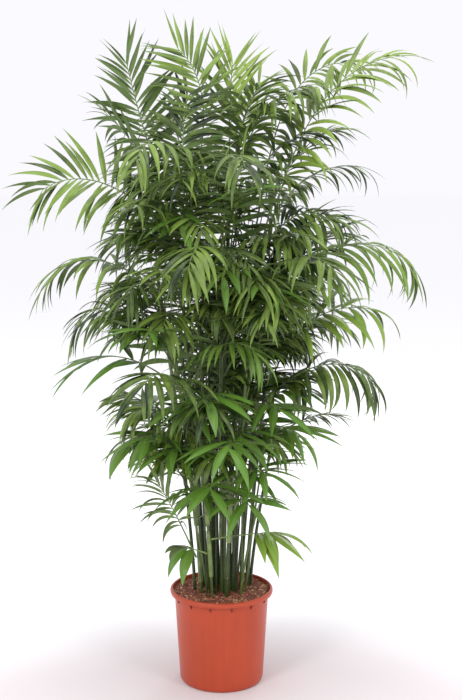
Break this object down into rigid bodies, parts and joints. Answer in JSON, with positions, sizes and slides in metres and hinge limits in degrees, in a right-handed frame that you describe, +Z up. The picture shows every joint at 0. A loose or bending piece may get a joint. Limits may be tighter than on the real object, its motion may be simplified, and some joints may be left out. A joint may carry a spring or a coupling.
{
  "type": "potted palm",
  "caption": "Tall clump-forming bamboo palm with slender canes and feather fronds, standing in soil in a round tapered nursery pot.",
  "frame": {"origin": "centre of the pot's underside, on the surface it stands on", "axes": "+Z up along the pot's axis; the plant's broad face looks along -Y; +X to the right seen from the front"},
  "size_m": [1.1471, 1.0167, 1.7257],
  "materials": {
    "terracotta_plastic": "satin moulded polypropylene, terracotta orange",
    "bark_mix": "coarse bark and peat potting mix",
    "cane": "smooth waxy green cane with pale rings",
    "leaf": "glossy deep green leaflets",
    "young_leaf": "satin yellow-green young leaflets"
  },
  "bodies": {
    "root": {"pot": "terracotta_plastic", "soil": "bark_mix", "cane_01": "cane", "cane_02": "cane", "cane_03": "cane", "cane_04": "cane", "cane_05": "cane", "cane_06": "cane", "cane_07": "cane", "cane_08": "cane", "cane_09": "cane", "cane_10": "cane", "cane_11": "cane", "cane_12": "cane", "cane_13": "cane", "cane_14": "cane", "cane_15": "cane", "cane_16": "cane", "cane_17": "cane", "frond_01": "leaf", "frond_02": "leaf", "frond_03": "leaf", "frond_04": "leaf", "frond_05": "leaf", "frond_06": "leaf", "frond_07": "leaf", "frond_08": "leaf", "frond_09": "young_leaf", "frond_10": "leaf", "frond_11": "leaf", "frond_12": "leaf", "frond_13": "leaf", "frond_14": "leaf", "frond_15": "young_leaf", "frond_16": "leaf", "frond_17": "young_leaf", "frond_18": "leaf", "frond_19": "young_leaf", "frond_20": "young_leaf", "frond_21": "young_leaf", "frond_22": "young_leaf", "frond_23": "leaf", "frond_24": "leaf", "frond_25": "leaf", "frond_26": "leaf", "frond_27": "leaf", "frond_28": "young_leaf", "frond_29": "young_leaf", "frond_30": "leaf", "frond_31": "leaf", "frond_32": "leaf", "frond_33": "leaf", "frond_34": "leaf", "frond_35": "leaf", "frond_36": "leaf", "frond_37": "leaf", "frond_38": "young_leaf", "frond_39": "leaf", "frond_40": "young_leaf", "frond_41": "leaf"}
  },
  "joints": []
}
